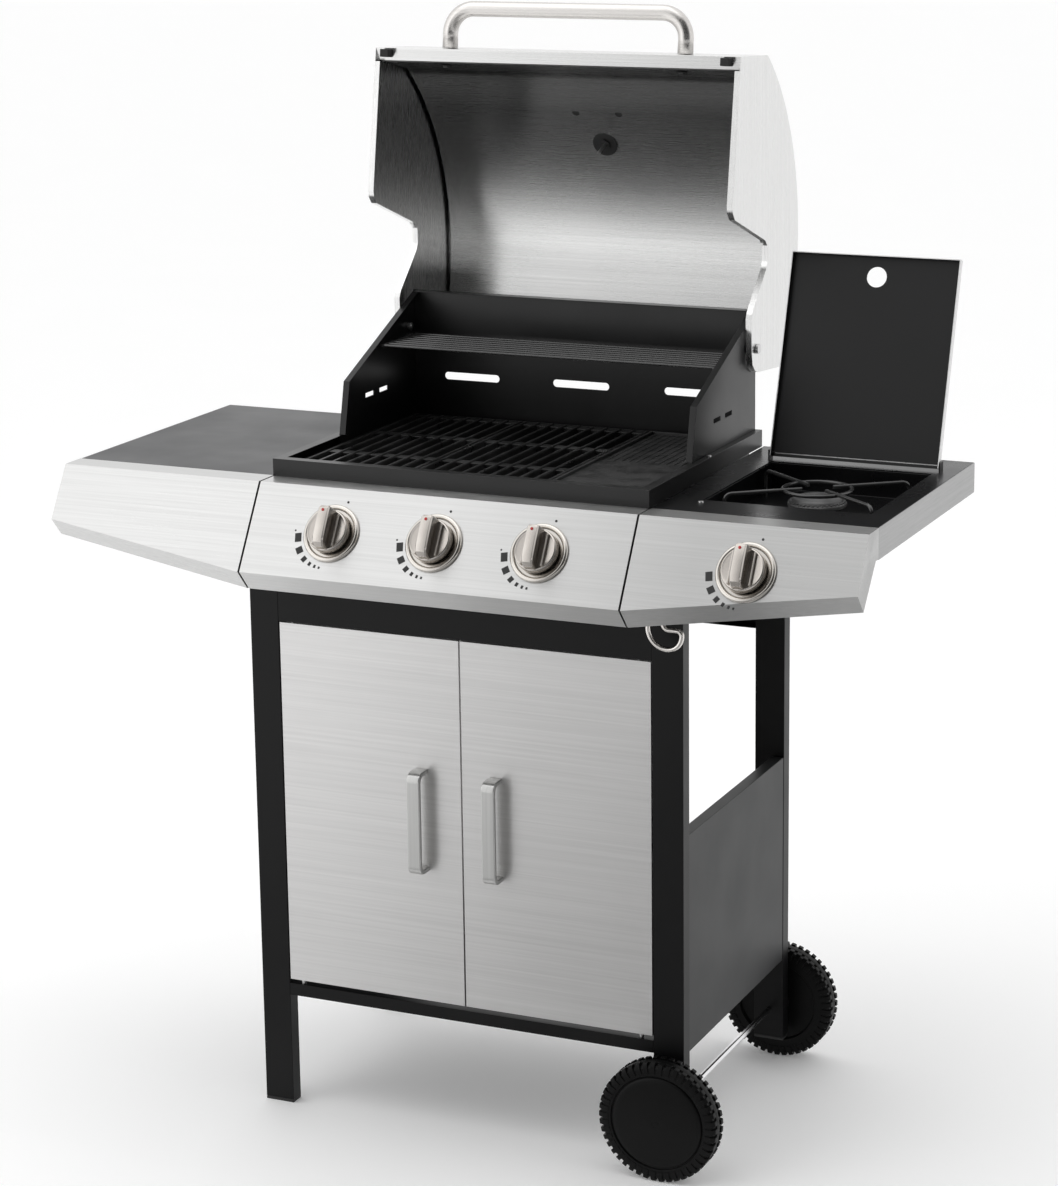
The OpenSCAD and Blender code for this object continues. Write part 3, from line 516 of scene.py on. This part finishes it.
def wheel():
    """Wheel about Z, with its capped face at Z = t. Lugs run round both shoulders."""
    lo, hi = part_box("wheel_front")
    r, t = (hi.x - lo.x) / 2 / MM, (hi.y - lo.y) / MM
    core, mid, side, bore = r - 3.2, t / 2, t - 3.4, 4.2
    hollow_back = [(bore, 1), (15, 1), (16, 2), (16, 7), (52, 7), (53, 6), (53, 3.6), (54, 2.6)]
    tread = [(core - 3, 2.6), (core, 5.6), (core, mid - 5), (core + 1.9, mid - 4.2), (core + 2.4, mid),
             (core + 1.9, mid + 4.2), (core, mid + 5), (core, side - 3.4), (core - 3, side - 0.4)]
    groove = [(62, side), (60.6, side - 0.5), (60.2, side - 2), (58.8, side - 2.4), (58.2, side - 0.6)]
    dome = [(56.8, side + 0.4), (54, side + 0.9), (50, t - 1.9), (30, t - 0.9), (10, t - 0.35),
            (bore, t - 0.3), (bore, t - 3)]
    build = Build()
    build.add(lathe(mm(hollow_back + tread + groove + dome), 96))
    build.add(lathe(mm([(0, t - 3), (4.3, t - 3), (4.3, t - 0.35), (0, t - 0.3)]), 32))
    lugs, lug_half, lug_depth = 46, 3, 9
    stand = Matrix(((1, 0, 0, 0), (0, 0, -1, 0), (0, 1, 0, 0), (0, 0, 0, 1)))
    for k in range(lugs):
        for out, face, shift in ((1, side + 0.7, 0), (-1, 1.7, 0.5)):
            inner = face - out * lug_depth
            outline = [(63.5, face), (core - 2, face), (r - 0.4, face - out * 2.4), (r, face - out * 4),
                       (r, inner), (core - 2, inner), (core - 4, face - out * 3.4),
                       (63.5, face - out * 2.4)]
            turn = Matrix.Rotation(TAU * (k + shift) / lugs, 4, "Z")
            build.add(prism(mm(outline), -lug_half * MM, lug_half * MM), turn @ stand)
    return build


for name, direction in (("wheel_front", -1), ("wheel_rear", 1)):
    lo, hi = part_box(name)
    centre = middle(name)
    centre.y = hi.y if direction < 0 else lo.y
    piece(name + "_tyre", wheel().moved(facing(centre, (0, direction, 0))), TYRE, name,
          [name], bevel=0.35 * MM, angle=40)

# ---------------------------------------------------------------- front panels and shelves

for name in ("control_panel", "fascia_left", "fascia_right"):
    cad(name, FRONT, 0.7 * MM, angle=20)
cad("shelf_bands", BAND, 0.5 * MM)
cad("shelf_left", GREY_SHELF, 0.9 * MM)
cad("shelf_right", TRAY, 0.9 * MM)

# ---------------------------------------------------------------- cook box

cad("cook_box", BOX, 0.9 * MM)
for name in ("wall_left", "wall_right", "wall_rear"):
    cad(name, BOX, 0.5 * MM)
cad("warming_rack", WIRE, 0.3 * MM)
for name in ("heat_plates", "burners"):
    cad(name, MILL, 0.3 * MM)
cad("manifold", ZINC)
cad("valves", BRASS)


def grate(name):
    """Cast grate: crowned bars, with lower cross bars between them."""
    lo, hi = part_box(name)
    width, pitch, margin = 5.6 * MM, 18 * MM, 3 * MM
    span = hi.x - lo.x - 2 * margin
    count = math.floor(span / pitch)
    step = span / count
    build = Build()
    for k in range(count + 1):
        x = lo.x + margin + k * step
        build.add(bar((x, lo.y, hi.z), (x, hi.y, hi.z), width, hi.z - lo.z))
    cross_top, cross_half, inset = hi.z - 1.6 * MM, 7 * MM, 0.3 * MM
    for y in (lo.y + cross_half, CART_Y - 80 * MM, CART_Y + 44 * MM, hi.y - cross_half):
        build.add(box((lo.x + inset, y - cross_half, lo.z), (hi.x - inset, y + cross_half, cross_top)))
    piece(name + "_casting", build, IRON, name, [name], bevel=0.5 * MM)


grate("grate_left")
grate("grate_middle")


def griddle():
    """Plate with a raised rim, a plain front and a ribbed rear half."""
    lo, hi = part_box("griddle")
    rim = 4 * MM
    floor = hi.z - rim
    split = CART_Y - 3 * MM
    build = Build()
    build.add(box((lo.x, lo.y, lo.z), (hi.x, hi.y, floor)))
    for a, b in (((lo.x, lo.y), (lo.x + rim, hi.y)), ((hi.x - rim, lo.y), (hi.x, hi.y)),
                 ((lo.x + rim, lo.y), (hi.x - rim, lo.y + rim)),
                 ((lo.x + rim, hi.y - rim), (hi.x - rim, hi.y))):
        build.add(box((*a, floor), (*b, hi.z)))
    build.add(box((lo.x + rim, lo.y + rim, floor), (hi.x - rim, split, floor + 0.9 * MM)))
    ribs, rib_width, rib_height = 12, 4.6 * MM, 0.7 * MM
    step = (hi.x - lo.x - 2 * rim) / ribs
    top = floor + rib_height
    for k in range(ribs):
        x = lo.x + rim + (k + 0.5) * step
        build.add(bar((x, split, top), (x, hi.y - rim, top), rib_width, rib_height))
    piece("griddle_plate", build, PLATE, "griddle", ["griddle"], bevel=0.6 * MM)


griddle()

# ---------------------------------------------------------------- knobs

# Printed marks round a knob, from large to small: angle in degrees, radius, width and height in mm.
HEAT_MARKS = ((191, 44.6, 8.6, 11.4), (212.5, 45.4, 8.8, 8.6), (230, 45.8, 7.2, 6.0),
              (243, 45.4, 5.0, 3.8), (253, 45.0, 4.0, 3.0), (261, 44.6, 3.0, 2.6))
# Printed dots: angle in degrees, distance from the knob's axis and radius in mm.
DOTS = ((73, 43.4, 1.6), (180, 49.4, 1.2))
MARK_LOW, MARK_HIGH = 0.02, 0.14
# The right fascia's face falls by this slope along the side knob's X, so the knob's marks follow it.
FASCIA_SLOPE = 0.0075


def face_matrix(key):
    """Frame of a knob: Z out of the panel, Y up along it."""
    joint = JOINTS[f"valve_{key}_turn"]
    return facing(Vector(joint["pos_m"]), Vector(joint["axis"]))


def knob_grip(disc, top):
    """Grip across a knob, as rows of points from its lower end to its upper end."""
    half, end = 8.3, 25
    rows = []
    for y, drop, w in ((-end, 9, 0.80), (-end + 4, 3.6, 0.92), (-14, 1.0, 1.0), (0, 0.2, 1.0),
                       (12, 0.0, 1.0), (end - 3, 0.6, 0.98), (end, 2.6, 0.86)):
        z = top - drop
        right = [(half * w * 0.72, y, z - 0.5), (half * w * 0.9, y, z - 2.4), (half * w, y, disc - 1.5)]
        left = [(-x, y, z) for x, y, z in reversed(right)]
        rows.append(mm(left + [(0, y, z)] + right))
    n, last = len(rows[0]), len(rows) - 1
    faces = [[i * n + k, i * n + k + 1, (i + 1) * n + k + 1, (i + 1) * n + k]
             for i in range(last) for k in range(n - 1)]
    faces += [list(range(n)), list(range(last * n, last * n + n))[::-1]]
    faces += [[i * n, (i + 1) * n, (i + 1) * n + n - 1, i * n + n - 1] for i in range(last)]
    return [v for row in rows for v in row], faces


def knob_shape():
    """Knob with a grip across it. Its grip's end carries a red dot."""
    r, base, disc = 27, 6, 16
    top = disc + 20
    metal, dot = range(2)
    build = Build()
    build.add(lathe(mm([(4.1, base), (r - 1, base), (r, base + 1), (r - 0.5, disc - 2),
                        (r - 1.1, disc - 0.6), (r - 2.2, disc), (22, disc - 0.4), (4.1, disc - 0.8)]), 72))
    build.add(knob_grip(disc, top), slot=metal)
    for x in (-13.2, 13.2):
        ends = mm([(x, -20, disc + 3.4), (x, 20, disc + 3.4)])
        build.add(bar(*ends, 3.2 * MM, 5 * MM), slot=metal)
    build.add(lathe(mm([(0, 0), (1.9, 0), (1.9, 0.45), (1.3, 0.7), (0, 0.75)]), 20),
              Matrix.Translation((0, 19 * MM, (top - 0.35) * MM)), dot)
    return build


def bezel_shape():
    """Domed ring round a knob, standing on the panel."""
    return lathe(mm([(9, 0.35), (36.6, 0.35), (37, 0.8), (36.8, 2.2), (35.4, 4.0), (33.6, 4.5),
                     (31.8, 4.1), (30.6, 3.0), (30.2, 1.6), (9, 1.5)]), 96)


def on_dial(spot, degrees, radius, lift=0.0):
    """Matrix of a mark at an angle and a radius in mm round a knob."""
    turn = Matrix.Rotation(math.radians(degrees), 4, "Z")
    return spot @ turn @ Matrix.Translation((radius * MM, 0, lift * MM))


bezels = Build()
marks = Build()
for key in ("left", "middle", "right", "side"):
    spot = face_matrix(key)
    piece("knob_grip_" + key, knob_shape().moved(spot), [NICKEL, RED], "knob_" + key,
          ["knob_" + key], bevel=0.5 * MM, angle=30)
    bezels.add(bezel_shape(), spot)
    cad("stem_" + key, ZINC, 0.3 * MM)
    for degrees, radius, w, h in HEAT_MARKS:
        lift = -FASCIA_SLOPE * radius * math.cos(math.radians(degrees)) if key == "side" else 0
        corners = mm([(-w / 2, -h / 2, MARK_LOW), (w / 2, h / 2, MARK_HIGH)])
        marks.add(box(*corners), on_dial(spot, degrees, radius, lift))
    for degrees, radius, r in DOTS:
        marks.add(lathe(mm([(0, MARK_LOW), (r, MARK_LOW), (r, MARK_HIGH), (0, MARK_HIGH)]), 16),
                  on_dial(spot, degrees, radius))
piece("bezel_rings", bezels, NICKEL_RING, "root", ["bezels"], angle=50)
piece("dial_marks", marks, INK, "root")

# ---------------------------------------------------------------- side burner

cad("side_burner_tray", TRAY, 0.8 * MM)
cad("side_gas_tube", TUBE, 0.0)
cad("side_lid", LID_IN, 0.6 * MM)
silver_outside("side_lid", LID_OUT)
cad("grease_tray", MILL, 0.5 * MM)


def pan_support():
    """Bent wire trivet: a ring held on four wires that turn down into feet."""
    lo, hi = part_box("pan_support")
    centre = middle("pan_support")
    wire, ring_r, ring_drop, bend_r = 2.5 * MM, 42 * MM, 4 * MM, 9 * MM
    steps = 48
    build = Build()
    ring = [(centre.x + ring_r * math.cos(TAU * k / steps), centre.y + ring_r * math.sin(TAU * k / steps),
             hi.z - ring_drop) for k in range(steps)]
    build.add(tube(ring, wire, 12, closed=True))
    hub = Vector((centre.x, centre.y, hi.z - wire))
    for degrees in (38, 142, 218, 322):
        a = math.radians(degrees)
        out = Vector((math.cos(a), math.sin(a), 0))
        inner, corner = hub + out * 20 * MM, hub + out * 118 * MM
        foot = Vector((corner.x, corner.y, lo.z))
        build.add(tube(bent_path([inner, corner, foot], bend_r), wire, 12))
    piece("trivet_wires", build, WIRE, "pan_support", ["pan_support"], angle=60)


def burner_head():
    """Burner with a ring of ports below its cap, on the end of its pipe."""
    lo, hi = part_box("side_burner")
    cap_r, cap_height, pipe_r, neck_r, ports = 36 * MM, 18 * MM, 10 * MM, 12 * MM, 36
    x, y, pipe_z = (lo.x + hi.x) / 2, hi.y - cap_r, lo.z + pipe_r
    build = Build()
    spot = Matrix.Translation((x, y, hi.z - cap_height))
    build.add(lathe(mm([(0, 0), (12, 0), (26, 0.4), (34.5, 5.4), (36, 7), (36, 10.6), (35, 11.8),
                        (31.4, 12), (31, 14.4), (29.6, 16.6), (26, 17.8), (12, 18), (0, 17.6)]), 72), spot)
    port = mm([(31, -1.1, 11.4), (34.6, 1.1, 13.6)])
    for k in range(ports):
        build.add(box(*port), spot @ Matrix.Rotation(TAU * k / ports, 4, "Z"))
    build.add(tube([(x, lo.y, pipe_z), (x, y, pipe_z)], pipe_r, 32))
    build.add(tube([(x, y, pipe_z - 9.9 * MM), (x, y, hi.z - 17 * MM)], neck_r, 32))
    piece("burner_casting", build, BURNER, "root", ["side_burner"], bevel=0.5 * MM, angle=40)


pan_support()
burner_head()

# ---------------------------------------------------------------- hood

for name, finish in (("hood_shell", HOOD), ("hood_liner", LINER), ("hood_side_left", HOOD_SIDE),
                     ("hood_side_right", HOOD_SIDE)):
    cad(name, finish, 0.35 * MM, angle=30)
cad("hood_handle", HANDLE, 0.0)
cad("hood_bumpers", RUBBER, 1.0 * MM)
cad("hood_bolts", ZINC, 0.5 * MM)

# The hood's details are placed on the closed hood, as the CAD does, and opened with it.
HINGE = Vector(JOINTS["hood_hinge"]["pos_m"])
TRAVEL = math.radians(JOINTS["hood_hinge"]["range_deg"][0])
OPEN = Matrix.Translation(HINGE) @ Matrix.Rotation(TRAVEL, 4, "X") @ Matrix.Translation(-HINGE)
# Arc of the outer skin in mm from the cart's middle, and the liner's depth under it at the dial.
SKIN_Y, SKIN_Z, SKIN_R = 53.4, 813.0, 294.0
SKIN_GAP = 23.5
DIAL_ANGLE = math.radians(119.8)
BADGE_ANGLE = math.radians(130.6)


def on_hood(x, angle, depth=0.0):
    """Matrix at a depth under the hood's outer skin, with +Z out through the hood."""
    y = SKIN_Y + (SKIN_R - depth) * math.cos(angle)
    z = SKIN_Z + (SKIN_R - depth) * math.sin(angle)
    return OPEN @ facing(at(x, y, z), (0, math.cos(angle), math.sin(angle)), X_AXIS)


def thermometer():
    """Dial on the outside, and its nut and probe on the inside."""
    case, nut, face, ink, probe = range(5)
    spot = on_hood(0, DIAL_ANGLE, SKIN_GAP)
    skin = SKIN_GAP + 0.02
    glass = skin + 8.7
    build = Build()
    build.add(lathe(mm([(0, skin), (31.6, skin), (32, skin + 0.6), (31.8, skin + 2.4), (30.6, skin + 3.2),
                        (30.2, skin + 9.4), (29.4, skin + 10.6), (28.2, skin + 11), (27.2, skin + 10.4),
                        (27, skin + 8.6), (0, skin + 8.6)]), 72), spot, case)
    build.add(tube(mm([(0, 0, 2), (0, 0, skin + 1)]), 5.4 * MM, 24), spot, case)
    build.add(tube(mm([(0, 0, 0), (0, 0, -26)]), 2.2 * MM, 18), spot, probe)
    build.add(lathe(mm([(0, -1), (13.6, -1), (14, 0), (14, 4.4), (13.2, 5), (0, 5)]), 48), spot, nut)
    build.add(lathe(mm([(0, -3.4), (16.4, -3.4), (17, -3), (17, -2.2), (0, -2.2)]), 48), spot, nut)
    build.add(hex_head(8.6 * MM, 3 * MM), spot @ Matrix.Translation((0, 0, -6.2 * MM)), nut)
    build.add(lathe(mm([(0, glass), (26.9, glass), (26.9, glass + 0.4), (0, glass + 0.4)]), 48), spot, face)
    first, ticks, tick_r = 225, 25, 24.5
    for k in range(ticks):
        turn = spot @ Matrix.Rotation(math.radians(first - k * 11.25), 4, "Z")
        length = 5 if k % 4 == 0 else 2.8
        build.add(box(*mm([(tick_r - length, -0.3, glass + 0.4), (tick_r, 0.3, glass + 0.55)])), turn, ink)
    turn = spot @ Matrix.Rotation(math.radians(first), 4, "Z")
    build.add(prism(mm([(-5, -1.2), (20, -0.2), (20, 0.2), (-5, 1.2)]), (glass + 0.6) * MM,
                    (glass + 1.0) * MM), turn, ink)
    build.add(dome_head(3 * MM, 1.4 * MM), spot @ Matrix.Translation((0, 0, (glass + 0.5) * MM)), ink)
    piece("thermometer_dial", build, [CHROME, PLASTIC, DIAL, INK, ZINC], "hood",
          ["thermometer"], bevel=0.15 * MM, angle=40)


def hood_details():
    """Blank badge outside with its two pins inside, and the bolts of the handle."""
    half_up, half_across = 13, 41
    badge = Build()
    badge.add(prism(mm([(-half_up, -half_across), (half_up, -half_across), (half_up, half_across),
                        (-half_up, half_across)]), 0.05 * MM, 1.6 * MM, 0.8 * MM), on_hood(0, BADGE_ANGLE))
    piece("badge_plate", badge, ALLOY, "hood", bevel=0.3 * MM)
    fixings = Build()
    for x in (-30.3, 30.3):
        fixings.add(lathe(mm([(0, -1.4), (4.8, -1.4), (5.5, -0.8), (5.5, 1.2), (0, 1.2)]), 24),
                    on_hood(x, BADGE_ANGLE, 27.2))
    for x in (-163, 163):
        spot = OPEN @ facing(at(x, -173.6, 899), (0, 1, -0.1))
        fixings.add(hex_head(6.4 * MM, 3.4 * MM), spot)
        fixings.add(lathe(mm([(0, 0), (8, 0), (8, 0.8), (0, 0.8)]), 28), spot)
    piece("hood_fixings", fixings, PLASTIC, "hood", bevel=0.3 * MM)


def cart_screws():
    """Screw heads on the rim's two sides and on the right shelf."""
    heads = Build()
    for x, y, z in ((-247.7, 14, 858), (247.7, 14, 858), (296.3, -137.5, 836.05)):
        heads.add(dome_head(3.6 * MM, 1.8 * MM), facing(at(x, y, z), Z_AXIS, Y_AXIS))
    piece("screw_heads", heads, ZINC, "root")


thermometer()
hood_details()
cart_screws()

# ---------------------------------------------------------------- stage, camera and light

# The camera fitted to the photo: place in metres, pan, tilt and roll in radians.
CAMERA_AT = (1.6249, -3.5515, 1.6673)
PAN, TILT, ROLL = 0.4170, 0.2284, -0.0107


def sheet(name, mat, x0, x1, y0, y1, z):
    """Level sheet of the stage."""
    mesh = bpy.data.meshes.new(name)
    mesh.from_pydata([(x0, y0, z), (x1, y0, z), (x1, y1, z), (x0, y1, z)], [], [(0, 1, 2, 3)])
    mesh.materials.append(mat)
    made = bpy.data.objects.new(name, mesh)
    bpy.context.scene.collection.objects.link(made)
    return made


def floor():
    """White floor that glows a little, so that it meets the studio behind it without an edge."""
    mat, bsdf = shader("floor", (0.93, 0.93, 0.93), 0.0, 0.7, Specular_IOR_Level=0.2,
                       Emission_Color=(1, 1, 1, 1), Emission_Strength=0.13)
    link(mat, tint(mat, noise(mat, 3, 2.0), (0.925, 0.925, 0.925), (0.935, 0.935, 0.935)),
         bsdf.inputs["Base Color"])
    sheet("floor", mat, -60, 60, -60, 60, 0)


def flag():
    """Card seen only in reflections: what the steel mirrors in front, brighter towards the left."""
    mat, bsdf = shader("flag", (0, 0, 0), 0.0, 1.0, Specular_IOR_Level=0.0, Emission_Color=(1, 1, 1, 1))
    coord = node(mat, "ShaderNodeTexCoord")
    split = node(mat, "ShaderNodeSeparateXYZ")
    link(mat, coord.outputs["Object"], split.inputs[0])
    link(mat, spread(mat, split.outputs["X"], 1.3, 0.38, -1.5, 0.0), bsdf.inputs["Emission Strength"])
    card = sheet("flag", mat, -5, 5, -6, -0.42, 0.004)
    card.visible_camera = False
    card.visible_diffuse = False
    card.visible_shadow = False


def studio():
    """White studio behind, bright from the front left, dim towards the front right, lit from above."""
    world = bpy.data.worlds.new("studio")
    world.use_nodes = True
    coord = node(world, "ShaderNodeTexCoord")
    split = node(world, "ShaderNodeSeparateXYZ")
    link(world, coord.outputs["Generated"], split.inputs[0])
    left_to_right = spread(world, split.outputs["X"], 1.35, 0.06, -0.5, 0.0)
    how_far_front = spread(world, split.outputs["Y"], 0.0, 1.0, 0.0, -0.35)
    how_high = spread(world, split.outputs["Z"], 0.0, 1.0, 0.75, 0.95)
    level = node(world, "ShaderNodeMix", data_type="FLOAT")
    level.inputs["A"].default_value = 1.0
    link(world, how_far_front, level.inputs["Factor"])
    link(world, left_to_right, level.inputs["B"])
    top = node(world, "ShaderNodeMix", data_type="FLOAT")
    top.inputs["B"].default_value = 1.2
    link(world, how_high, top.inputs["Factor"])
    link(world, level.outputs["Result"], top.inputs["A"])
    background = world.node_tree.nodes["Background"]
    background.inputs["Color"].default_value = (1, 1, 1, 1)
    link(world, top.outputs["Result"], background.inputs["Strength"])
    bpy.context.scene.world = world


def area(name, location, size, power):
    """Rectangular lamp that looks at the middle of the grill."""
    target = Vector((0, 0, 0.8))
    data = bpy.data.lights.new(name, "AREA")
    data.shape = "RECTANGLE"
    data.size, data.size_y = size
    data.energy = power
    lamp = bpy.data.objects.new(name, data)
    lamp.matrix_world = Matrix.Translation(location) @ \
        (Vector(location) - target).to_track_quat("Z", "Y").to_matrix().to_4x4()
    bpy.context.scene.collection.objects.link(lamp)


def camera():
    """Camera of the photo."""
    lens = bpy.data.cameras.new("camera")
    lens.lens = 95.62
    lens.sensor_width = 36
    lens.shift_x, lens.shift_y = -0.0303, -0.0642
    lens.clip_end = 300
    made = bpy.data.objects.new("camera", lens)
    turn = Matrix.Rotation(PAN, 4, "Z") @ Matrix.Rotation(math.pi / 2 - TILT, 4, "X") \
        @ Matrix.Rotation(ROLL, 4, "Z")
    made.matrix_world = Matrix.Translation(CAMERA_AT) @ turn
    bpy.context.scene.collection.objects.link(made)
    bpy.context.scene.camera = made


floor()
studio()
flag()
bpy.context.scene.view_settings.view_transform = "Standard"
area("top", location=(-0.4, -0.6, 3.4), size=(3.2, 2.6), power=16)
area("front_left", location=(-2.6, -2.8, 2.0), size=(1.6, 2.4), power=3)
camera()
